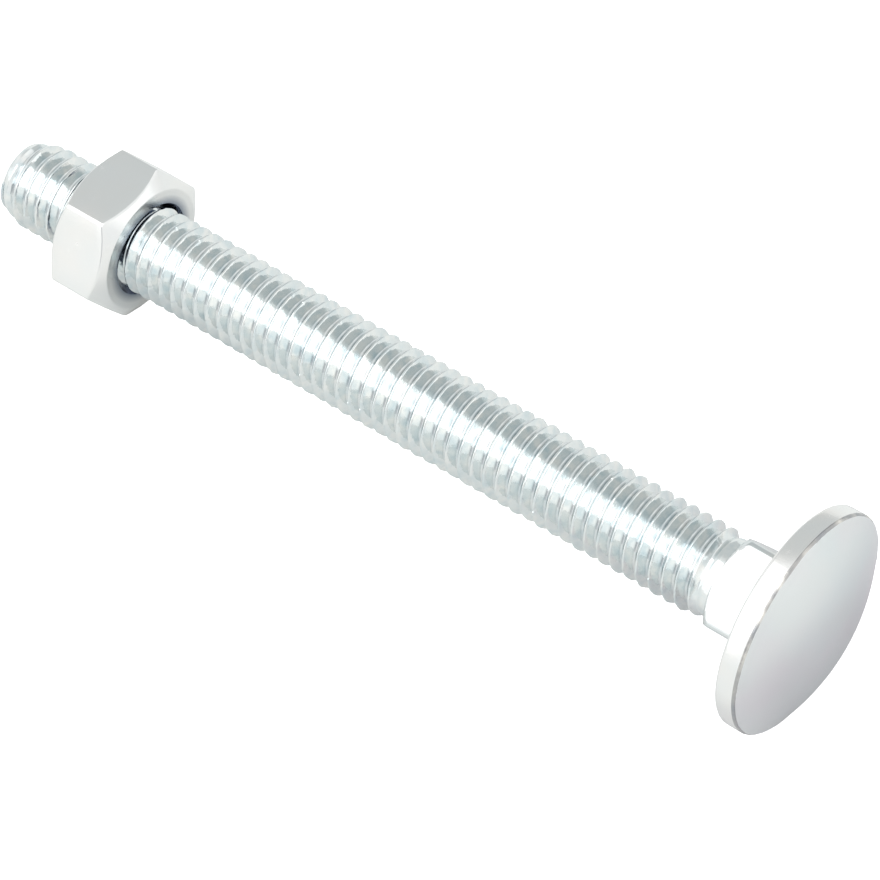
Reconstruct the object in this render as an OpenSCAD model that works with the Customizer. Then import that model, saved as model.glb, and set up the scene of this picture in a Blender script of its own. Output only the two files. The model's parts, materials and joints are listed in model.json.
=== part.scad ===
/* [Thread] */
// Outside diameter of the thread
thread_d = 6; // [5:0.1:8]
// Distance between neighbouring crests, along the bolt
pitch = 1; // [0.7:0.05:1.25]
// Length from the underside of the head to the tip
shank_length = 63; // [40:1:100]
// Length over which the thread fades out below the square neck
runout = 1.3; // [0.8:0.1:2]
// Diameter of the flat end at the tip
tip_d = 5; // [4:0.1:5.4]
// Length over which the tip tapers to its flat end
tip_taper = 1.6; // [0.5:0.1:3]
// Turn of the thread about the bolt's axis, in degrees
thread_turn = 27; // [0:1:359]

/* [Head] */
// Outside diameter of the head
head_d = 15.45; // [12:0.05:20]
// Height of the straight rim, from the underside to the crown's edge
rim_height = 1.6; // [1:0.1:3]
// Radius of the sphere that the crown is part of
crown_radius = 15; // [10:0.5:30]
// Radius on the rim's edge at the underside
rim_lower_round = 0.3; // [0.1:0.05:0.5]
// Radius on the rim's edge at the crown
rim_upper_round = 0.25; // [0.1:0.05:0.5]

/* [Square neck] */
// Width of the neck across its flats
neck_af = 6; // [5.6:0.1:8]
// Radius on the neck's four long edges
neck_corner = 0.45; // [0.2:0.05:0.8]
// Length from the underside of the head to the neck's lowest point
neck_length = 4.25; // [3:0.05:8]
// Radius of the shoulder that rounds the neck's lower end
shoulder_radius = 2.1; // [1.8:0.1:2.5]
// Diameter at which the shoulder's rounding starts
shoulder_start_d = 4.5; // [4:0.1:5]
// Turn of the square about the bolt's axis, in degrees
neck_turn = 31; // [0:1:89]

/* [Nut] */
// Width of the nut across its flats
nut_af = 9.85; // [9:0.05:12]
// Height of the nut
nut_height = 4.8; // [3:0.1:7]
// Radius on the nut's six long edges
nut_corner = 0.3; // [0.1:0.05:0.5]
// Diameter of the flat ring on each end of the nut
nut_face_d = 8.8; // [7.6:0.1:9]
// Slope of the chamfer on each end, in degrees from the end face
nut_chamfer = 35; // [20:1:45]
// Radius that blends the end face into the chamfer
nut_blend = 1; // [0.5:0.1:1.5]
// Distance from the underside of the head to the nut
nut_place = 51.75; // [8:0.25:52]
// Gap between the crests of the bolt and the wall of the nut
bore_clearance = 0.1; // [0.05:0.05:0.3]
// Width of the countersink at each mouth of the nut, beyond the bore
countersink = 0.35; // [0.1:0.05:0.5]

/* [Hidden] */

zinc_bolt = [0.78, 0.81, 0.81];
zinc_nut = [0.82, 0.82, 0.80];

// Smoothness of the true rounds, and flat facets in one turn of the thread
round_fn = 96;
turn_facets = 18;

// Overlap that fuses two shapes of one piece
fuse = 0.2;

// Basic 60 degree thread form, as shares of the pitch
thread_depth = 0.6134 * pitch;
crest_width = pitch / 8;
flank_width = thread_depth * tan(30);
tooth_width = crest_width + 2 * flank_width;

thread_r = thread_d / 2;
root_r = thread_r - thread_depth;
// The rod is rolled from a plain blank that is as thick as the thread's pitch diameter
blank_r = thread_r - 0.325 * pitch;
tip_r = tip_d / 2;

// Height of the first and last sections of the thread, from the underside of the head
tip_margin = 0.05 * pitch;
thread_low = -shank_length + tip_margin + tooth_width / 2;
thread_high = -neck_length - tooth_width / 2;
section_count = floor((thread_high - thread_low) / pitch * turn_facets);
start_turn = thread_turn + 360 * thread_low / pitch;
// The crest rises from the root over this much of the first turn
rise = 0.3 * pitch;

head_r = head_d / 2;
crown_edge_r = head_r - rim_upper_round;
crown_centre = rim_height - sqrt(crown_radius * crown_radius - crown_edge_r * crown_edge_r);

bore_r = thread_r + bore_clearance;
nut_face_r = nut_face_d / 2;
nut_corner_r = nut_af / 2 / cos(30);
blend_out = nut_blend * sin(nut_chamfer);
blend_up = nut_blend * (1 - cos(nut_chamfer));
chamfer_end_r = nut_corner_r + fuse;
chamfer_end = blend_up + (chamfer_end_r - nut_face_r - blend_out) * tan(nut_chamfer);

// The bolt lies on its head and its nut. The nut touches the floor at the far end of its lower
// flat, and the head at the lower edge of its rim, so the axis leans by the lie angle.
flat_overrun = nut_af / 2 - nut_face_r;
nut_contact = nut_place + nut_height - (nut_blend - sqrt(nut_blend * nut_blend - flat_overrun * flat_overrun));
lie_rise = head_r - rim_lower_round - nut_af / 2;
lie_run = nut_contact + rim_lower_round;
lie_angle = atan2(lie_rise, lie_run) + asin(rim_lower_round / norm([lie_rise, lie_run]));
lie_height = (head_r - rim_lower_round) * cos(lie_angle) - rim_lower_round * sin(lie_angle) + rim_lower_round;

// The origin is on the floor under the middle of the bolt
crown_reach = crown_centre * cos(lie_angle) + crown_radius;
tip_reach = shank_length * cos(lie_angle) + tip_r * sin(lie_angle);
lie_shift = (tip_reach - crown_reach) / 2;

// A share that grows from 0 to 1 as x goes from a to b
function ramp(x, a, b) = min(1, max(0, (x - a) / (b - a)));

// Radius of the root and of the crest where the middle of the tooth is at height z
function fade(z) = ramp(z, thread_high, thread_high - runout);
function root_at(z) = blank_r + (root_r - blank_r) * fade(z);
function tip_limit(z) = tip_r + (thread_r - tip_r) * ramp(z, -shank_length, -shank_length + tip_taper);
function full_crest(z) = blank_r + (thread_r - blank_r) * fade(z);
function crest_at(z) =
    let (grown = root_at(z) + (full_crest(z) - root_at(z)) * ramp(z, thread_low, thread_low + rise))
    max(root_at(z), min(grown, tip_limit(z)));

// One section of the tooth: root, crest, crest and root again
function section_height(k) = thread_low + pitch * k / turn_facets;
function section_angle(k) = start_turn + 360 * k / turn_facets;
function at_angle(r, angle, z) = [r * cos(angle), r * sin(angle), z];
function section(k) =
    let (z = section_height(k), a = section_angle(k), root = root_at(z), crest = crest_at(z))
    [
        at_angle(root, a, z - tooth_width / 2),
        at_angle(crest, a, z - crest_width / 2),
        at_angle(crest, a, z + crest_width / 2),
        at_angle(root, a, z + tooth_width / 2)
    ];
function ring(first, r, z) = [for (k = [0 : turn_facets - 1]) at_angle(r, section_angle(first + k), z)];

// Fan of triangles over a polygon, seen from its first corner
function fan(corners) = [for (i = [1 : len(corners) - 2]) [corners[0], corners[i], corners[i + 1]]];

// The rolled rod as one closed skin: the tooth winds up from the ring of corners at the tip to
// the ring inside the neck, and each turn's root is stitched to the turn above it.
module threaded_rod() {
    n = turn_facets;
    last = section_count;
    tip_ring = 4 * (last + 1);
    neck_ring = tip_ring + n;
    points = concat(
        [for (k = [0 : last]) each section(k)],
        ring(0, min(root_r, tip_r), -shank_length),
        ring(last - n, blank_r, -neck_length + fuse)
    );
    tooth = [
        for (k = [0 : last - 1], j = [0 : 2])
            each fan([4 * k + j, 4 * k + j + 1, 4 * k + j + 5, 4 * k + j + 4])
    ];
    root = [
        for (k = [0 : last - n - 1])
            each fan([4 * k + 3, 4 * (k + n), 4 * (k + n + 1), 4 * (k + 1) + 3])
    ];
    tip_side = [
        for (k = [0 : n - 2]) each fan([tip_ring + k, 4 * k, 4 * (k + 1), tip_ring + k + 1])
    ];
    tip_seam = fan([tip_ring + n - 1, 4 * (n - 1), 4 * n, 3, 2, 1, 0, tip_ring]);
    neck_side = [
        for (k = [1 : n - 1])
            each fan([
                4 * (last - n + k) + 3,
                neck_ring + k,
                neck_ring + (k + 1) % n,
                4 * (last - n + k + 1) + 3
            ])
    ];
    neck_seam = fan([
        4 * (last - n + 1) + 3,
        4 * (last - n) + 3,
        4 * last,
        4 * last + 1,
        4 * last + 2,
        4 * last + 3,
        neck_ring,
        neck_ring + 1
    ]);
    tip_face = [[for (k = [0 : n - 1]) tip_ring + k]];
    neck_face = [[for (k = [n - 1 : -1 : 0]) neck_ring + k]];
    polyhedron(points, concat(tooth, root, tip_side, tip_seam, neck_side, neck_seam, tip_face, neck_face));
}

// Square with rounded corners
module rounded_square(width, corner) {
    inner = width - 2 * corner;
    square([width, inner], center = true);
    square([inner, width], center = true);
    for (x = [-1, 1], y = [-1, 1])
        translate([x * inner / 2, y * inner / 2])
            circle(r = corner, $fn = round_fn);
}

// Square neck, with its lower end turned to a round shoulder
module square_neck() {
    intersection() {
        translate([0, 0, -neck_length])
            rotate(neck_turn)
                linear_extrude(neck_length + fuse)
                    rounded_square(neck_af, neck_corner);
        rotate_extrude($fn = round_fn)
            union() {
                translate([0, -neck_length])
                    square([shoulder_start_d / 2, neck_length + fuse]);
                translate([0, -neck_length + shoulder_radius])
                    square([shoulder_start_d / 2 + shoulder_radius, neck_length + fuse - shoulder_radius]);
                intersection() {
                    translate([shoulder_start_d / 2, -neck_length + shoulder_radius])
                        circle(r = shoulder_radius, $fn = round_fn);
                    translate([0, -neck_length])
                        square([neck_af, neck_length]);
                }
            }
    }
}

// Mushroom head: a straight rim with rounded edges under a crown that is part of a sphere
module mushroom_head() {
    rotate_extrude($fn = round_fn) {
        square([head_r - rim_lower_round, rim_height]);
        translate([0, rim_lower_round])
            square([head_r, rim_height - rim_lower_round - rim_upper_round]);
        translate([0, rim_height / 2])
            square([crown_edge_r, rim_height / 2]);
        translate([head_r - rim_lower_round, rim_lower_round])
            circle(r = rim_lower_round, $fn = round_fn);
        translate([crown_edge_r, rim_height - rim_upper_round])
            circle(r = rim_upper_round, $fn = round_fn);
        intersection() {
            translate([0, crown_centre])
                circle(r = crown_radius, $fn = round_fn * 2);
            translate([0, rim_height - rim_upper_round])
                square([crown_edge_r, crown_radius]);
        }
    }
}

// Hexagon with rounded corners and one flat towards the floor
module rounded_hexagon(width, corner) {
    corner_centre = (width / 2 - corner) / cos(30);
    polygon([
        for (i = [0 : 5], side = [-30, 30])
            corner_centre * [cos(60 * i + 30), sin(60 * i + 30)]
            + corner * [cos(60 * i + 30 + side), sin(60 * i + 30 + side)]
    ]);
    for (i = [0 : 5])
        rotate(60 * i + 30)
            translate([corner_centre, 0])
                circle(r = corner, $fn = round_fn);
}

// Half of the round blank that gives one end of the nut its flat ring, blend and chamfer
module nut_end_profile() {
    polygon([
        [0, 0],
        [nut_face_r, 0],
        [nut_face_r + blend_out, blend_up],
        [chamfer_end_r, chamfer_end],
        [chamfer_end_r, nut_height / 2],
        [0, nut_height / 2]
    ]);
    intersection() {
        translate([nut_face_r, nut_blend])
            circle(r = nut_blend, $fn = round_fn);
        square([chamfer_end_r, nut_height / 2]);
    }
}

// Bore through the nut, opened by a countersink at each mouth
module nut_bore() {
    translate([0, 0, -fuse])
        cylinder(r = bore_r, h = nut_height + 2 * fuse, $fn = round_fn);
    translate([0, 0, -fuse])
        cylinder(r1 = bore_r + countersink + fuse, r2 = bore_r, h = countersink + fuse, $fn = round_fn);
    translate([0, 0, nut_height - countersink])
        cylinder(r1 = bore_r, r2 = bore_r + countersink + fuse, h = countersink + fuse, $fn = round_fn);
}

// Lays a piece that was drawn upright, head up, down on the floor
module laid_down() {
    translate([lie_shift, 0, lie_height])
        rotate([0, 90 - lie_angle, 0])
            children();
}

module bolt() {
    color(zinc_bolt)
        laid_down() {
            mushroom_head();
            square_neck();
            threaded_rod();
        }
}

module nut() {
    color(zinc_nut)
        laid_down()
            translate([0, 0, -nut_place - nut_height])
                difference() {
                    intersection() {
                        linear_extrude(nut_height)
                            rounded_hexagon(nut_af, nut_corner);
                        rotate_extrude($fn = round_fn) {
                            nut_end_profile();
                            translate([0, nut_height])
                                mirror([0, 1])
                                    nut_end_profile();
                        }
                    }
                    nut_bore();
                }
}

bolt();
nut();
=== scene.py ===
"""Zinc plated carriage bolt with its hex nut, lying on a pale floor in soft studio light."""
import json
import math

import bmesh
import bpy
import numpy as np
from mathutils import Matrix, Vector


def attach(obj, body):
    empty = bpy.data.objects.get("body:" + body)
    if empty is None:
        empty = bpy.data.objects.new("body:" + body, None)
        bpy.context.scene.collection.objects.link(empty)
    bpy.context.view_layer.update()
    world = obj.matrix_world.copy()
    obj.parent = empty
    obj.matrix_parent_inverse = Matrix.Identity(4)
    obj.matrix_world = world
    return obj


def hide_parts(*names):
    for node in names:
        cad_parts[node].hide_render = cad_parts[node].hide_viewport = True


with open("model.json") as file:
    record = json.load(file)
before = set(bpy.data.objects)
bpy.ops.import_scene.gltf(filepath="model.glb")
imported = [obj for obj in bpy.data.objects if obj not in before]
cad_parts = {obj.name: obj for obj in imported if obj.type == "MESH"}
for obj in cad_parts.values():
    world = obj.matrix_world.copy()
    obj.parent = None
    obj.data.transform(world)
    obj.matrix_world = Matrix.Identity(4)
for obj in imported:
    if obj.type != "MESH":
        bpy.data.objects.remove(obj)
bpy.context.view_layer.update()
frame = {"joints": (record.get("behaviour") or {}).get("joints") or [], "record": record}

MM = 0.001
MICRON = 0.001 * MM
mounts = {mount["name"]: mount for mount in frame["record"]["mounts"]}

# The bolt's own directions: along the axis to the head, level across it, and upward from it
axis = Vector(frame["joints"][0]["axis"]).normalized()
side = Vector((0, 1, 0))
above_axis = axis.cross(side)

# Middle of the head's underside, level with the mount beside it; heights are measured from here
underside_mount = Vector(mounts["head_underside"]["pos_m"])
underside = Vector((underside_mount.x, 0, underside_mount.z))

# Thread, an ordinary 60 degree metric one, rolled. In the photograph its crests stand a little
# over their nominal diameter. Flat, end and start are measured along the axis from the middle of
# a crest: half the crest's flat, where its rounding meets the flank, where the root's begins.
pitch = 1.0 * MM
crest_swell = 0.06 * MM
crest_r = mounts["thread"]["dims"]["r_mm"] * MM + crest_swell
flank_slope = math.tan(math.radians(60))
crest_width = 0.10 * pitch
crest_round = 0.05 * pitch
root_round = 0.15 * pitch
pitch_r = crest_r - (pitch / 4 - crest_width / 2) * flank_slope
crest_flat = crest_width / 2 - crest_round * math.tan(math.radians(30))
crest_end = crest_flat + crest_round * math.sin(math.radians(60))
root_start = pitch / 2 - root_round * math.sin(math.radians(60))
root_r = pitch_r - (root_start - pitch / 4) * flank_slope - root_round / 2
flank_hold = 0.02 * pitch
thread_turn = math.radians(27)
shank_length = 63.0 * MM
tip_r = 2.5 * MM
tip_taper = 1.6 * MM
tip_edge_blend = 0.03 * MM
runout = 1.3 * MM
thread_end = 0.3 * pitch

# Knocks along the crests: their usual height, the deepest and the highest in such heights, and
# the turns of the thread that have knocks of their own before they would repeat
crest_nick = 0.020 * MM
deepest_nick = -2
highest_nick = 1
nicked_turns = 97

# Square neck and its round shoulder
neck_length = mounts["square_neck"]["dims"]["length_mm"] * MM
neck_half = 3.0 * MM
neck_corner = 0.45 * MM
neck_turn = math.radians(31)
shoulder_start_r = 2.25 * MM
shoulder_round = 2.1 * MM
shoulder_blend = 0.08 * MM
neck_fillet = 0.2 * MM

# Mushroom head
head_r = 7.725 * MM
rim_height = 1.6 * MM
crown_radius = 15.0 * MM
rim_lower_round = 0.3 * MM
rim_upper_round = 0.25 * MM
crown_middle_r = 0.05 * MM
edge_unevenness = 0.012 * MM

# Nut, measured from the face towards the head
nut_place = (underside_mount - Vector(mounts["nut_face"]["pos_m"])).dot(axis)
nut_height = 4.8 * MM
nut_half = 4.925 * MM
nut_corner = 0.3 * MM
nut_face_r = 4.4 * MM
nut_chamfer = math.radians(35)
nut_blend = 0.12 * MM
nut_edge_round = 0.1 * MM
nut_hold = 0.04 * MM
nut_mouth_r = 3.38 * MM
nut_minor_r = 2.52 * MM
nut_major_r = 3.12 * MM
thread_play = 0.04 * MM

# How finely the meshes are divided: columns of points round a piece, and steps over each form
COLUMNS = 84
CORNER_STEPS = 8
SHOULDER_STEPS = 30
NECK_STEPS = 7
FILLET_STEPS = 4
RIM_ROUND_STEPS = 6
CROWN_STEPS = 30
CHAMFER_STEPS = 6
NUT_EDGE_STEPS = 4
NUT_SIDE_STEPS = 6
NUT_THREAD_ROWS = 24

# Points closer than this are joined, and edges sharper than this aren't shaded smooth
join_distance = 0.0005 * MM
sharp_edge = math.radians(35)


def laid_down():
    """Matrix that lays a piece, drawn upright with the head up, down along the bolt's axis."""
    across = side.cross(axis)
    turned = Matrix((across, side, axis)).transposed().to_4x4()
    return Matrix.Translation(underside) @ turned


def arc(centre, radius, start, end, steps):
    """Points (across, up) along an arc; the angles are in degrees from the direction across."""
    angles = np.radians(np.linspace(start, end, steps + 1))
    across = centre[0] + radius * np.cos(angles)
    up = centre[1] + radius * np.sin(angles)
    return np.stack([across, up], axis=1)


def rounded_polygon_columns(sides, half_width, corner, turn):
    """Angles and radii of COLUMNS points round a polygon with rounded corners."""
    half_angle = math.pi / sides
    corner_centre = (half_width - corner) / math.cos(half_angle)
    side_steps = COLUMNS // sides - CORNER_STEPS
    points = []
    for i in range(sides):
        corner_angle = turn + (2 * i + 1) * half_angle
        centre = corner_centre * np.array([math.cos(corner_angle), math.sin(corner_angle)])
        for step in range(CORNER_STEPS + 1):
            angle = corner_angle + half_angle * (2 * step / CORNER_STEPS - 1)
            points.append(centre + corner * np.array([math.cos(angle), math.sin(angle)]))
        next_turn = 2 * half_angle
        first = points[-1]
        following = points[-1 - CORNER_STEPS]
        turned = np.array([
            following[0] * math.cos(next_turn) - following[1] * math.sin(next_turn),
            following[0] * math.sin(next_turn) + following[1] * math.cos(next_turn),
        ])
        for step in range(1, side_steps):
            points.append(first + (turned - first) * step / side_steps)
    points = np.array(points)
    angles = np.unwrap(np.arctan2(points[:, 1], points[:, 0]))
    return angles, np.hypot(points[:, 0], points[:, 1])


def polygon_radius(sides, half_width, corner, turn, angles):
    """Distance from the axis to a polygon with rounded corners, in the directions given."""
    half_angle = math.pi / sides
    off_flat = np.abs((np.asarray(angles) - turn + half_angle) % (2 * half_angle) - half_angle)
    flat_radius = half_width / np.cos(off_flat)
    corner_centre = (half_width - corner) / math.cos(half_angle)
    off_corner = half_angle - off_flat
    inside = np.maximum(corner ** 2 - (corner_centre * np.sin(off_corner)) ** 2, 0)
    corner_radius = corner_centre * np.cos(off_corner) + np.sqrt(inside)
    corner_start = np.arctan2((half_width - corner) * math.tan(half_angle), half_width)
    return np.where(off_flat > corner_start, corner_radius, flat_radius)


def thread_profile(from_crest):
    """Radius of the thread at a distance along the axis from the middle of its crest."""
    away = np.abs((from_crest / pitch + 0.5) % 1.0 - 0.5) * pitch
    flank = pitch_r + (pitch / 4 - away) * flank_slope
    root_centre = root_r + root_round
    reach = np.minimum((away - pitch / 2) ** 2, root_round ** 2)
    root = root_centre - np.sqrt(root_round ** 2 - reach)
    into = np.clip(away - crest_flat, 0, crest_round)
    crest = crest_r - crest_round + np.sqrt(crest_round ** 2 - into ** 2)
    return np.where(away < crest_end, crest, np.where(away > root_start, root, flank))


def crest_height(angles):
    """Height of the crest's middle at each angle, for the turn nearest the underside."""
    return pitch * (np.asarray(angles) - thread_turn) / (2 * math.pi)


def soft_min(a, b, blend):
    """The smaller of two radii, with the edge between them rounded over a blend."""
    mix = np.clip(0.5 + 0.5 * (b - a) / blend, 0, 1)
    return b + (a - b) * mix - blend * mix * (1 - mix)


def smooth_ramp(x, low, high):
    """Rises from 0 at one value to 1 at the other, level at both."""
    t = np.clip((x - low) / (high - low), 0, 1)
    return t * t * (3 - 2 * t)


def nicks(angles, from_crest):
    """Small knocks along the crests, each as wide as one column."""
    turn = np.round(from_crest / pitch).astype(int) % nicked_turns
    column = np.round(np.asarray(angles) * COLUMNS / (2 * math.pi)).astype(int) % COLUMNS
    knocks = np.random.default_rng(6).normal(size=(nicked_turns, COLUMNS))
    return crest_nick * np.clip(knocks[turn, column], deepest_nick, highest_nick)


def shank_radius(angles, z):
    """Radius of the shank: full thread, its fade below the neck and its taper at the tip."""
    from_crest = z - crest_height(angles)
    full = thread_profile(from_crest)
    full = full + nicks(angles, from_crest) * smooth_ramp(full, pitch_r, crest_r)
    last_turn = -neck_length - thread_end
    depth = smooth_ramp(z, last_turn, last_turn - runout)
    faded = pitch_r + (full - pitch_r) * depth
    taper = tip_r + (crest_r - tip_r) * (z + shank_length) / tip_taper
    return soft_min(faded, taper, tip_edge_blend)


def thread_rows():
    """Places of the rows of points within one pitch, from the middle of the crest: its flat, its
    corner, the flank and the root, and the same mirrored. Two rows near the flank's ends keep its
    shading straight."""
    crest_corner = (crest_flat + crest_end) / 2
    into_root = pitch / 2 - root_round * 0.45
    down = np.array([
        crest_flat, crest_corner, crest_end, crest_end + flank_hold,
        root_start - flank_hold, root_start, into_root,
    ])
    return np.concatenate([[-crest_flat], down, [pitch / 2], (pitch - down)[:0:-1]]) / pitch


def helical_wall(radius_at, angles, low, high, rows):
    """Vertices and quads of a threaded wall between two heights. The rows follow the thread, so
    each one runs into the next turn's at the seam, and rows past an end gather on its ring."""
    turns = math.ceil((high - low) / pitch) + 3
    first_turn = math.floor((low - crest_height(angles).max()) / pitch) - 1
    heights = (first_turn + np.arange(turns + 1)[:, None] + rows[None, :]).ravel() * pitch
    z = np.clip(heights[:, None] + crest_height(angles)[None, :], low, high)
    r = radius_at(np.broadcast_to(angles, z.shape), z)
    index = np.arange(z.size).reshape(z.shape)
    points = np.stack([r * np.cos(angles), r * np.sin(angles), z], axis=2).reshape(-1, 3)
    faces = []
    for column in range(len(angles)):
        shift = len(rows) if column == len(angles) - 1 else 0
        there = index[shift:, (column + 1) % len(angles)]
        here = index[:len(there), column]
        faces.append(np.stack([here[:-1], there[:-1], there[1:], here[1:]], axis=1))
    return points, np.concatenate(faces)


def ring_wall(rings):
    """Vertices and quads between rings of the same number of points."""
    points = np.concatenate(rings)
    index = np.arange(len(points)).reshape(len(rings), len(rings[0]))
    following = np.roll(index, -1, axis=1)
    quads = np.stack([index[:-1], following[:-1], following[1:], index[1:]], axis=2)
    return points, quads.reshape(-1, 4)


def ring(angles, radius, z):
    """One ring of points; radius and z may be single numbers."""
    radius = np.broadcast_to(radius, angles.shape)
    heights = np.broadcast_to(z, angles.shape)
    return np.stack([radius * np.cos(angles), radius * np.sin(angles), heights], axis=1)


def build_piece(name, walls):
    """A closed mesh object laid down along the bolt's axis. Each wall has its own finish."""
    mesh = bpy.data.meshes.new(name)
    bm = bmesh.new()
    for place, (finish, (points, quads)) in enumerate(walls.items()):
        mesh.materials.append(finish)
        corners = [bm.verts.new(p) for p in points]
        for quad in quads:
            bm.faces.new([corners[i] for i in quad]).material_index = place
    bmesh.ops.remove_doubles(bm, verts=bm.verts, dist=join_distance)
    bmesh.ops.holes_fill(bm, edges=[e for e in bm.edges if e.is_boundary], sides=0)
    bmesh.ops.recalc_face_normals(bm, faces=bm.faces)
    bm.to_mesh(mesh)
    bm.free()
    mesh.polygons.foreach_set("use_smooth", [True] * len(mesh.polygons))
    mesh.set_sharp_from_angle(angle=sharp_edge)
    mesh.transform(laid_down())
    piece = bpy.data.objects.new(name, mesh)
    bpy.context.scene.collection.objects.link(piece)
    return piece


def head_profile():
    """Lower and upper round of the rim and the crown, from the underside to the crown's middle."""
    crown_edge_r = head_r - rim_upper_round
    crown_centre = rim_height - math.sqrt(crown_radius ** 2 - crown_edge_r ** 2)
    crown_start = 90 - math.degrees(math.asin(crown_edge_r / crown_radius))
    lower_centre = (head_r - rim_lower_round, rim_lower_round)
    upper_centre = (crown_edge_r, rim_height - rim_upper_round)
    lower = arc(lower_centre, rim_lower_round, -90, 0, RIM_ROUND_STEPS)
    upper = arc(upper_centre, rim_upper_round, 0, crown_start, RIM_ROUND_STEPS)
    crown = arc((0, crown_centre), crown_radius, crown_start, 90, CROWN_STEPS)
    crown[-1][0] = crown_middle_r
    return lower, upper, crown


def rough_edge(angles, radius, z):
    """A ring on the crown's edge, where the die has left the metal a little uneven."""
    uneven = edge_unevenness * np.random.default_rng(11).normal(size=(2, len(angles)))
    return ring(angles, radius + uneven[0], z + uneven[1])


def neck_rings(angles, thread_top):
    """Rings of the neck, from the thread over the round shoulder and up to the head's fillet."""
    square = polygon_radius(4, neck_half, neck_corner, neck_turn, angles)
    shoulder_centre = (shoulder_start_r, -neck_length + shoulder_round)
    start = math.degrees(math.asin((pitch_r - shoulder_start_r) / shoulder_round)) - 90
    shoulder = arc(shoulder_centre, shoulder_round, start, 0, SHOULDER_STEPS)
    rings = [ring(angles, pitch_r, thread_top)]
    for r, z in shoulder[1:]:
        rings.append(ring(angles, soft_min(square, np.full_like(square, r), shoulder_blend), z))
    for z in np.linspace(shoulder_centre[1], -neck_fillet, NECK_STEPS + 1)[1:]:
        rings.append(ring(angles, square, z))
    for step in range(1, FILLET_STEPS + 1):
        turn = math.radians(90 * step / FILLET_STEPS)
        outward = neck_fillet * (1 - math.cos(turn))
        rings.append(ring(angles, square + outward, -neck_fillet + neck_fillet * math.sin(turn)))
    return rings


def build_bolt(finishes):
    """The bolt from its tip to the middle of its crown."""
    angles, _ = rounded_polygon_columns(4, neck_half, neck_corner, neck_turn)
    into_shoulder = math.sqrt(shoulder_round ** 2 - (pitch_r - shoulder_start_r) ** 2)
    thread_top = -(neck_length - shoulder_round + into_shoulder)
    neck = neck_rings(angles, thread_top)
    lower, upper, crown = head_profile()
    rim = [neck[-1]] + [ring(angles, r, z) for r, z in np.concatenate([lower, upper[:1]])]
    edge = [ring(angles, r, z) for r, z in upper[:3]]
    edge += [rough_edge(angles, r, z) for r, z in upper[3:]]
    crown_rings = [edge[-1]] + [ring(angles, r, z) for r, z in crown[1:]]
    return build_piece("bolt_body", {
        finishes["thread"]: helical_wall(
            shank_radius, angles, -shank_length, thread_top, thread_rows()),
        finishes["neck"]: ring_wall(neck),
        finishes["rim"]: ring_wall(rim),
        finishes["crown_edge"]: ring_wall(edge),
        finishes["crown"]: ring_wall(crown_rings),
    })


def chamfer_height(radius):
    """Height above the nut's end at which its chamfer has a radius."""
    over = np.asarray(radius) - nut_face_r
    blend_out = nut_blend * math.sin(nut_chamfer)
    blend_up = nut_blend * (1 - math.cos(nut_chamfer))
    in_blend = nut_blend - np.sqrt(nut_blend ** 2 - np.clip(over, 0, blend_out) ** 2)
    on_slope = blend_up + (over - blend_out) * math.tan(nut_chamfer)
    return np.where(over <= blend_out, in_blend, on_slope)


def nut_thread_radius(angles, z):
    """Radius of the nut's bore: its thread, with some play round the bolt's, and countersinks."""
    away = np.abs(((z - crest_height(angles)) / pitch + 0.5) % 1.0 - 0.5) * pitch
    flank = pitch_r + thread_play + (pitch / 4 - away) * flank_slope
    thread = np.clip(flank, nut_minor_r, nut_major_r)
    low, high = -nut_place - nut_height, -nut_place
    sink = nut_mouth_r - np.minimum(z - low, high - z)
    return np.maximum(thread, sink)


def nut_end(outline):
    """One end of the nut from its mouth to its flats, as radii and heights above that end: the
    flat face, the blend into the chamfer, the chamfer, and the round on its outer edge."""
    rings = []
    for radius in (nut_mouth_r, (nut_mouth_r + nut_face_r) / 2, nut_face_r - nut_hold, nut_face_r):
        rings.append((np.full_like(outline, radius), np.zeros_like(outline)))
    edge_in = outline - nut_edge_round
    blend_out = nut_blend * math.sin(nut_chamfer)
    for out in (blend_out / 2, blend_out, blend_out + nut_hold):
        radius = np.minimum(nut_face_r + out, edge_in)
        rings.append((radius, chamfer_height(radius)))
    chamfer_start = rings[-1][0]
    for share in np.linspace(0, 1, CHAMFER_STEPS + 1)[1:]:
        radius = chamfer_start + (edge_in - chamfer_start) * share
        rings.append((radius, chamfer_height(radius)))
    edge_height = chamfer_height(outline)
    start_height = chamfer_height(edge_in)
    for step in range(1, NUT_EDGE_STEPS + 1):
        share = step / NUT_EDGE_STEPS
        a, b, c = (1 - share) ** 2, 2 * share * (1 - share), share ** 2
        radius = a * edge_in + (b + c) * outline
        height = a * start_height + b * edge_height + c * (edge_height + nut_edge_round)
        rings.append((radius, height))
    return rings


def build_nut(finishes):
    """The nut, the same on both ends."""
    angles, outline = rounded_polygon_columns(6, nut_half, nut_corner, 0.0)
    low, high = -nut_place - nut_height, -nut_place
    end = nut_end(outline)
    rings = [ring(angles, radius, low + height) for radius, height in end]
    bottom, top = low + end[-1][1], high - end[-1][1]
    for share in np.linspace(0, 1, NUT_SIDE_STEPS + 1)[1:-1]:
        rings.append(ring(angles, outline, bottom + (top - bottom) * share))
    rings += [ring(angles, radius, high - height) for radius, height in reversed(end)]
    rows = np.linspace(0, 1, NUT_THREAD_ROWS, endpoint=False)
    bore = helical_wall(nut_thread_radius, angles, low, high, rows)
    return build_piece("nut_body", {
        finishes["nut"]: ring_wall(rings),
        finishes["nut_thread"]: bore,
    })


def add_node(tree, kind, feed, **settings):
    """A node with its settings, each input set to a value or linked from another node's socket."""
    made = tree.nodes.new("ShaderNode" + kind)
    for setting, value in settings.items():
        setattr(made, setting, value)
    for label, value in feed.items():
        if isinstance(value, bpy.types.NodeSocket):
            tree.links.new(value, made.inputs[label])
        else:
            made.inputs[label].default_value = value
    return made


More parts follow.
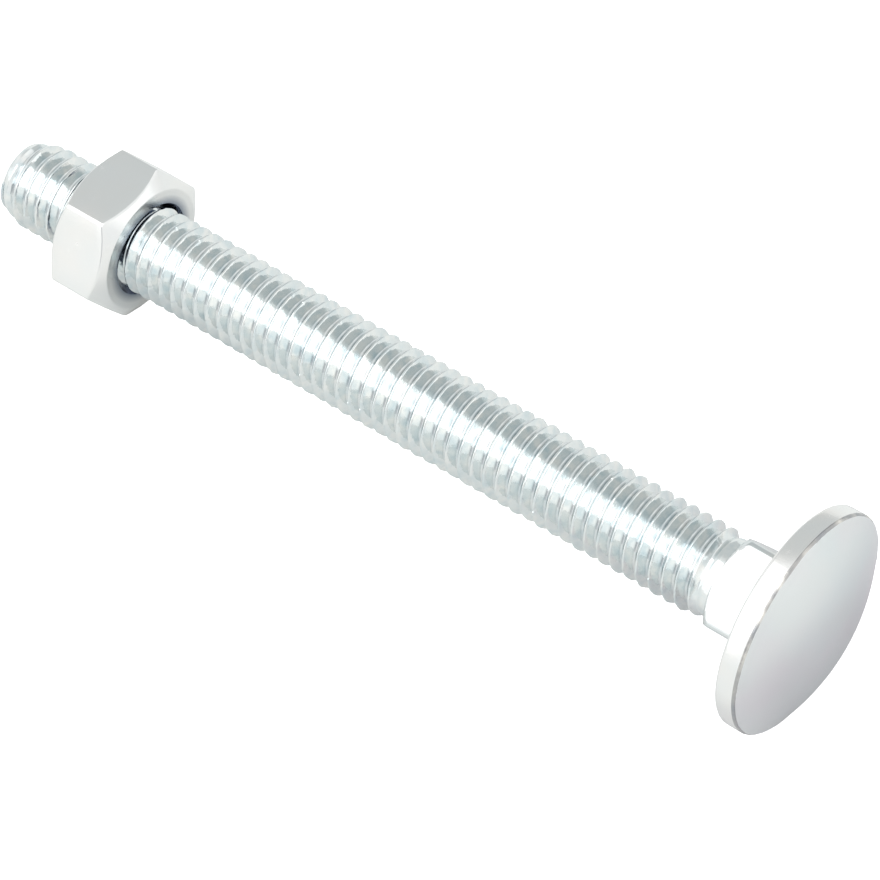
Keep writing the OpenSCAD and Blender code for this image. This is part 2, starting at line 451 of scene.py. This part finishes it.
def reckon(tree, operation, *values):
    """The result of a Math node."""
    return add_node(tree, "Math", dict(enumerate(values)), operation=operation).outputs[0]


def blended(tree, share, first, second, **settings):
    """Two colours mixed; a colour Mix node has them in its inputs 6 and 7, and its result in 2."""
    feed = {0: share, 6: first, 7: second}
    return add_node(tree, "Mix", feed, data_type="RGBA", **settings).outputs[2]


def ramp(tree, value, low, high):
    """Runs from 0 where the value is low to 1 where it is high."""
    feed = {"Value": value, "From Min": low, "From Max": high}
    return add_node(tree, "MapRange", feed).outputs["Result"]


def shader_group(name, inputs, outputs):
    """An empty node group with named inputs, as (name, kind, value), and named outputs."""
    group = bpy.data.node_groups.new(name, "ShaderNodeTree")
    for label, kind, value in inputs:
        socket = group.interface.new_socket(
            label, in_out="INPUT", socket_type="NodeSocket" + kind)
        if value is not None:
            socket.default_value = value
    for label, kind in outputs:
        group.interface.new_socket(label, in_out="OUTPUT", socket_type="NodeSocket" + kind)
    given = group.nodes.new("NodeGroupInput").outputs
    result = group.nodes.new("NodeGroupOutput").inputs
    return group, given, result


def grown(tree, vector, size):
    """The vector measured in lengths of a size, for a texture whose details have that size."""
    inverse = reckon(tree, "DIVIDE", 1.0, size)
    feed = {0: vector, "Scale": inverse}
    return add_node(tree, "VectorMath", feed, operation="SCALE").outputs[0]


def noise_value(tree, vector, size, detail):
    """Noise whose details have a size."""
    feed = {"Vector": grown(tree, vector, size), "Scale": 1.0, "Detail": detail}
    return add_node(tree, "TexNoise", feed).outputs["Fac"]


def soft_noise(tree, vector, size, detail, low, high):
    """Noise between 0 and 1, spread so that it is 0 under one level and 1 over another."""
    return ramp(tree, noise_value(tree, vector, size, detail), low, high)


def plating_tone_group():
    """Faint bluish and warm patches that a bright zinc plating has."""
    group, given, result = shader_group("plating_tone", [
        ("Vector", "Vector", None),
        ("Patch Size", "Float", 4 * MM),
        ("Plain", "Color", (0.85, 0.86, 0.86, 1)),
        ("Blue", "Color", (0.78, 0.82, 0.86, 1)),
        ("Warm", "Color", (0.86, 0.83, 0.84, 1)),
    ], [("Color", "Color"), ("Patches", "Float")])
    warm_shift = (0.31, 0.17, 0.23)
    place, size = given["Vector"], given["Patch Size"]
    shifted = add_node(group, "VectorMath", {0: place, 1: warm_shift}, operation="ADD").outputs[0]
    blue = soft_noise(group, place, size, detail=3.0, low=0.40, high=0.68)
    warm = soft_noise(group, shifted, size, detail=2.0, low=0.45, high=0.72)
    bluish = blended(group, blue, given["Plain"], given["Blue"])
    tone = blended(group, warm, bluish, given["Warm"])
    group.links.new(tone, result["Color"])
    group.links.new(blue, result["Patches"])
    return group


def handling_marks_group():
    """Thin scratches in two directions, broken up, as parts get in a box of many."""
    group, given, result = shader_group("handling_marks", [
        ("Vector", "Vector", None),
        ("Mark Length", "Float", 3 * MM),
        ("Width", "Float", 0.012),
    ], [("Marks", "Float")])
    narrowing = (1, 12, 12)
    first_way, second_way = (0.3, 0.5, 0.4), (1.3, 0.2, 1.9)
    noise_middle = 0.5
    found = []
    for way in (first_way, second_way):
        feed = {"Vector": given["Vector"], "Rotation": way, "Scale": narrowing}
        turned = add_node(group, "Mapping", feed).outputs[0]
        noise = noise_value(group, turned, given["Mark Length"], detail=0.0)
        off_middle = reckon(group, "ABSOLUTE", reckon(group, "SUBTRACT", noise, noise_middle))
        line = ramp(group, off_middle, given["Width"], 0.0)
        here = soft_noise(group, turned, given["Mark Length"], detail=1.0, low=0.55, high=0.62)
        found.append(reckon(group, "MULTIPLY", line, here))
    group.links.new(reckon(group, "MAXIMUM", *found), result["Marks"])
    return group


def plated_grain_group():
    """The fine uneven skin of the plating, as a height, with small dull specks as a mask."""
    group, given, result = shader_group("plated_grain", [
        ("Vector", "Vector", None),
        ("Grain Size", "Float", 0.3 * MM),
        ("Speck Size", "Float", 0.8 * MM),
    ], [("Height", "Float"), ("Specks", "Float")])
    place = given["Vector"]
    height = soft_noise(group, place, given["Grain Size"], detail=2.0, low=0.3, high=0.7)
    specks = soft_noise(group, place, given["Speck Size"], detail=2.0, low=0.66, high=0.74)
    group.links.new(height, result["Height"])
    group.links.new(specks, result["Specks"])
    return group


def dull_zone_group():
    """Dulls a colour at one distance from the bolt's axis and leaves it as it is at another. It
    paints shade into the thread's roots, paints shade and a dark reflection round the nut's mouth,
    and gives the crests a darker tone.
    """
    group, given, result = shader_group("dull_zone", [
        ("Vector", "Vector", None),
        ("Color", "Color", (0.8, 0.8, 0.8, 1)),
        ("Dull Radius", "Float", 2.5 * MM),
        ("Bright Radius", "Float", 3 * MM),
        ("Dull", "Color", (0.5, 0.5, 0.5, 1)),
    ], [("Color", "Color")])
    untinted = (1, 1, 1, 1)
    feed = {0: given["Vector"], 1: underside}
    from_middle = add_node(group, "VectorMath", feed, operation="SUBTRACT").outputs[0]
    feed = {0: from_middle, 1: axis}
    across = add_node(group, "VectorMath", feed, operation="CROSS_PRODUCT").outputs[0]
    radius = add_node(group, "VectorMath", {0: across}, operation="LENGTH").outputs["Value"]
    clear = ramp(group, radius, given["Dull Radius"], given["Bright Radius"])
    tint = blended(group, clear, given["Dull"], untinted)
    toned = blended(group, 1.0, given["Color"], tint, blend_type="MULTIPLY")
    group.links.new(toned, result["Color"])
    return group


def zinc_material(name, groups, tones, roughness, patch_size, mark_depth, grain_size, grain_depth,
                  dull_zones=()):
    """Bright zinc plating on steel, from the shared effects with one place's own values. The tones
    are the plain, the bluish and the warm one. A dull zone is a distance from the axis, the
    distance at which it has ended, and its tint. It darkens the colour there: painted shade in the
    thread's roots, painted shade and dark reflection round the nut's mouth, and a darker tone on
    the crests."""
    mark_length, mark_width, speck_size = 3.5 * MM, 0.012, 0.7 * MM
    speck_roughness, patch_roughness, mark_roughness = 0.08, 0.04, 0.08
    material = bpy.data.materials.new(name)
    material.use_nodes = True
    tree = material.node_tree
    shader = tree.nodes["Principled BSDF"]
    place = add_node(tree, "TexCoord", {}).outputs["Object"]

    def effect(kind, feed):
        return add_node(tree, "Group", {"Vector": place, **feed}, node_tree=groups[kind]).outputs

    plain, blue, warm = ((*tone, 1) for tone in tones)
    patches = {"Patch Size": patch_size, "Plain": plain, "Blue": blue, "Warm": warm}
    tone = effect("tone", patches)
    marks = effect("marks", {"Mark Length": mark_length, "Width": mark_width})
    grain = effect("grain", {"Grain Size": grain_size, "Speck Size": speck_size})
    colour = tone["Color"]
    for dull_r, bright_r, dull in dull_zones:
        zone = {"Dull Radius": dull_r, "Bright Radius": bright_r, "Dull": (*dull, 1)}
        colour = effect("zone", {"Color": colour, **zone})["Color"]

    specked = reckon(tree, "MULTIPLY_ADD", grain["Specks"], speck_roughness, roughness)
    clouded = reckon(tree, "MULTIPLY_ADD", tone["Patches"], patch_roughness, specked)
    scuffed = reckon(tree, "MULTIPLY_ADD", marks["Marks"], mark_roughness, clouded)
    raised = {"Height": grain["Height"], "Distance": grain_depth, "Strength": 1.0}
    grained = add_node(tree, "Bump", raised).outputs[0]
    sunk = {"Height": marks["Marks"], "Distance": mark_depth, "Strength": 1.0, "Normal": grained}
    scored = add_node(tree, "Bump", sunk, invert=True).outputs[0]
    tree.links.new(colour, shader.inputs["Base Color"])
    tree.links.new(scuffed, shader.inputs["Roughness"])
    tree.links.new(scored, shader.inputs["Normal"])
    shader.inputs["Metallic"].default_value = 1.0
    return material


def zinc_finishes():
    """The finish of each place on the bolt and the nut."""
    groups = {
        "tone": plating_tone_group(), "marks": handling_marks_group(),
        "grain": plated_grain_group(), "zone": dull_zone_group(),
    }

    # The plain, the bluish and the warm tone of each plating
    grey = ((0.72, 0.75, 0.75), (0.66, 0.71, 0.73), (0.74, 0.74, 0.73))
    mottled = ((0.79, 0.82, 0.82), (0.67, 0.74, 0.76), (0.87, 0.87, 0.85))
    neutral = ((0.85, 0.85, 0.84), (0.83, 0.84, 0.84), (0.87, 0.85, 0.83))
    lilac = ((0.76, 0.78, 0.78), (0.73, 0.77, 0.78), (0.77, 0.75, 0.77))
    # Painted shade and glints: the crown's edge is dark grey with cream patches, standing in for
    # the dark reflection along the edge and the glints above it
    broken = ((0.46, 0.45, 0.44), (0.36, 0.37, 0.39), (0.90, 0.86, 0.80))
    # Painted shade: the nut's bore and its countersinks are coloured nearly black, standing in for
    # the shade inside the nut
    dark = ((0.10, 0.12, 0.16), (0.06, 0.08, 0.14), (0.14, 0.14, 0.15))

    # Painted shade in the thread's roots: the colour darkens towards the bottom of each groove,
    # where shade falls
    painted_root_shade = (root_r + 0.03 * MM, root_r + 0.16 * MM, (0.84, 0.85, 0.86))
    dull_crest = (crest_r - 0.02 * MM, crest_r - 0.05 * MM, (0.94, 0.95, 0.95))
    # Painted shade and reflection: the nut's faces turn navy grey close round the mouth, standing
    # in for the shank's dark reflection and the shade in the gap
    painted_mouth_shade = (nut_mouth_r, nut_mouth_r + 0.65 * MM, (0.33, 0.37, 0.44))
    return {
        "thread": zinc_material(
            "thread_zinc", groups, mottled, roughness=0.08, patch_size=0.9 * MM,
            mark_depth=1.0 * MICRON, grain_size=0.2 * MM, grain_depth=2.0 * MICRON,
            dull_zones=(painted_root_shade, dull_crest)),
        "neck": zinc_material(
            "neck_zinc", groups, grey, roughness=0.14, patch_size=3.0 * MM,
            mark_depth=2.0 * MICRON, grain_size=0.4 * MM, grain_depth=1.2 * MICRON),
        "rim": zinc_material(
            "rim_zinc", groups, neutral, roughness=0.19, patch_size=3.0 * MM,
            mark_depth=2.0 * MICRON, grain_size=0.4 * MM, grain_depth=3.0 * MICRON),
        "crown_edge": zinc_material(
            "crown_edge_painted_shade_and_glints", groups, broken, roughness=0.22, patch_size=1.6 * MM,
            mark_depth=4.0 * MICRON, grain_size=0.5 * MM, grain_depth=10.0 * MICRON),
        "crown": zinc_material(
            "crown_zinc", groups, lilac, roughness=0.33, patch_size=6.0 * MM,
            mark_depth=1.5 * MICRON, grain_size=0.5 * MM, grain_depth=2.0 * MICRON),
        "nut": zinc_material(
            "nut_zinc", groups, neutral, roughness=0.18, patch_size=4.0 * MM,
            mark_depth=0.4 * MICRON, grain_size=0.5 * MM, grain_depth=1.2 * MICRON,
            dull_zones=(painted_mouth_shade,)),
        "nut_thread": zinc_material(
            "nut_bore_painted_shade", groups, dark, roughness=0.25, patch_size=4.0 * MM,
            mark_depth=2.0 * MICRON, grain_size=0.3 * MM, grain_depth=2.0 * MICRON),
    }


def place_camera():
    """A camera at the photograph's place, which sees the bolt's axis run down to the right."""
    facing_up = math.radians(62.70)
    along_axis, away = 90.13 * MM, 249.01 * MM
    aim_along, aim_up = -26.31 * MM, -1.40 * MM
    slope_in_picture = math.radians(30.01)
    towards = -math.cos(facing_up) * side + math.sin(facing_up) * above_axis
    upward = math.sin(facing_up) * side + math.cos(facing_up) * above_axis
    place = underside + along_axis * axis + away * towards
    aim = underside + aim_along * axis + aim_up * upward
    forward = (aim - place).normalized()
    axis_seen = (axis - axis.dot(forward) * forward).normalized()
    square_to_axis = axis_seen.cross(forward)
    right = math.cos(slope_in_picture) * axis_seen + math.sin(slope_in_picture) * square_to_axis
    right.normalize()
    up = right.cross(forward)
    camera = bpy.data.objects.new("camera", bpy.data.cameras.new("camera"))
    camera.data.angle = math.radians(11.721)
    camera.data.clip_start = 0.01
    camera.data.clip_end = 10
    turned = Matrix((right, up, -forward)).transposed().to_4x4()
    camera.matrix_world = Matrix.Translation(place) @ turned
    bpy.context.scene.collection.objects.link(camera)
    bpy.context.scene.camera = camera
    return camera


def floor_tone(tree):
    """Pale grey with painted shadows: darker beyond the head and beside the shank's middle, and a
    little darker along a strip close before the shank, where the bolt keeps light off the floor."""
    place = add_node(tree, "TexCoord", {}).outputs["Object"]
    tone = (0.80, 0.81, 0.80, 1)
    # Painted shadows beyond the head and beside the shank: a middle, the distances at which each
    # begins to fade and has faded, and its grey
    beyond_head = ((37 * MM, 3 * MM, 0), 6 * MM, 22 * MM, (0.59, 0.58, 0.60, 1))
    by_shank = ((-15.5 * MM, -4 * MM, 0), 3 * MM, 9 * MM, (0.66, 0.68, 0.68, 1))
    for middle, inner, outer, shade in (beyond_head, by_shank):
        feed = {0: place, 1: middle}
        away = add_node(tree, "VectorMath", feed, operation="DISTANCE").outputs["Value"]
        tone = blended(tree, ramp(tree, away, inner, outer), shade, tone)
    # Painted shadow along a strip before the shank: its middle across, where it begins to fade and
    # has faded, and its tint
    strip_middle, strip_inner, strip_outer = 7 * MM, 4 * MM, 10 * MM
    strip_tint = (0.96, 0.96, 0.96, 1)
    across = add_node(tree, "SeparateXYZ", {"Vector": place}).outputs["Y"]
    off_strip = reckon(tree, "ABSOLUTE", reckon(tree, "ADD", across, strip_middle))
    shaded = blended(tree, 1.0, tone, strip_tint, blend_type="MULTIPLY")
    return blended(tree, ramp(tree, off_strip, strip_inner, strip_outer), shaded, tone)


def build_floor():
    """A white floor that the camera sees overexposed, while the zinc mirrors its paler grey and
    the shadows painted on it.
    """
    reach = 1.5
    corners = [(-reach, -reach, 0), (reach, -reach, 0), (reach, reach, 0), (-reach, reach, 0)]
    mesh = bpy.data.meshes.new("floor")
    mesh.from_pydata(corners, [], [(0, 1, 2, 3)])
    floor = bpy.data.objects.new("floor", mesh)
    bpy.context.scene.collection.objects.link(floor)
    material = bpy.data.materials.new("floor_white")
    material.use_nodes = True
    tree = material.node_tree
    shader = tree.nodes["Principled BSDF"]
    tree.links.new(floor_tone(tree), shader.inputs["Base Color"])
    shader.inputs["Roughness"].default_value = 0.9
    shader.inputs["Specular IOR Level"].default_value = 0.0
    shader.inputs["Emission Color"].default_value = (1, 1, 1, 1)
    seen = add_node(tree, "LightPath", {}).outputs["Is Camera Ray"]
    tree.links.new(seen, shader.inputs["Emission Strength"])
    mesh.materials.append(material)


def direction(azimuth, elevation):
    """Unit vector towards a place in the studio, its angles in degrees."""
    azimuth, elevation = math.radians(azimuth), math.radians(elevation)
    level = math.cos(elevation)
    return Vector((level * math.cos(azimuth), level * math.sin(azimuth), math.sin(elevation)))


def softbox(name, azimuth, elevation, width, height, radiance, colour=(1, 1, 1)):
    """A rectangular soft light aimed at the bolt, its size given as the angles it fills."""
    distance = 0.6
    light = bpy.data.lights.new(name, "AREA")
    light.shape = "RECTANGLE"
    light.size = 2 * distance * math.tan(math.radians(width / 2))
    light.size_y = 2 * distance * math.tan(math.radians(height / 2))
    light.energy = radiance * math.pi * light.size * light.size_y
    light.color = colour
    lamp = bpy.data.objects.new(name, light)
    lamp.location = distance * direction(azimuth, elevation)
    lamp.rotation_mode = "QUATERNION"
    lamp.rotation_quaternion = direction(azimuth, elevation).to_track_quat("Z", "Y")
    bpy.context.scene.collection.objects.link(lamp)


def studio_walls(camera_side):
    """Pale studio walls with two brighter places, two greyer ones, and a dark one round the
    camera. Each place is a direction, the angles from it at which it begins to fade and has
    faded, and a colour; a later one lies over those before it."""
    world = bpy.data.worlds.new("studio")
    bpy.context.scene.world = world
    world.use_nodes = True
    tree = world.node_tree
    towards = add_node(tree, "TexCoord", {}).outputs["Generated"]
    low_left = (direction(222, 14), 16, 40, (1.36, 1.37, 1.36, 1))
    grey_back = (direction(121, 29), 31, 44, (0.65, 0.68, 0.68, 1))
    high_right = (direction(74, 46), 8, 20, (1.15, 1.16, 1.15, 1))
    below_camera = (direction(284, 18), 14, 26, (0.62, 0.64, 0.66, 1))
    round_camera = (camera_side, 8, 18, (0.14, 0.16, 0.20, 1))
    tone = (1.0, 1.02, 1.02, 1)
    places = (low_left, grey_back, high_right, below_camera, round_camera)
    for middle, inner, outer, colour in places:
        feed = {0: towards, 1: middle}
        facing = add_node(tree, "VectorMath", feed, operation="DOT_PRODUCT").outputs["Value"]
        faded, full = math.cos(math.radians(outer)), math.cos(math.radians(inner))
        tone = blended(tree, ramp(tree, facing, faded, full), tone, colour)
    tree.links.new(tone, tree.nodes["Background"].inputs["Color"])


def light_studio(camera):
    """Walls, a large key light above the near side, and a warm light beyond the head."""
    bpy.context.scene.view_settings.view_transform = "Standard"
    studio_walls((camera.location - underside).normalized())
    softbox("key", azimuth=262, elevation=62, width=78, height=60, radiance=0.9)
    softbox("beyond_head", azimuth=22, elevation=14, width=44, height=28, radiance=0.25,
            colour=(1.0, 0.97, 0.92))


finishes = zinc_finishes()
bolt = build_bolt(finishes)
nut = build_nut(finishes)
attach(bolt, "bolt")
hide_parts("bolt")
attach(nut, "nut")
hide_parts("nut")
camera = place_camera()
build_floor()
light_studio(camera)
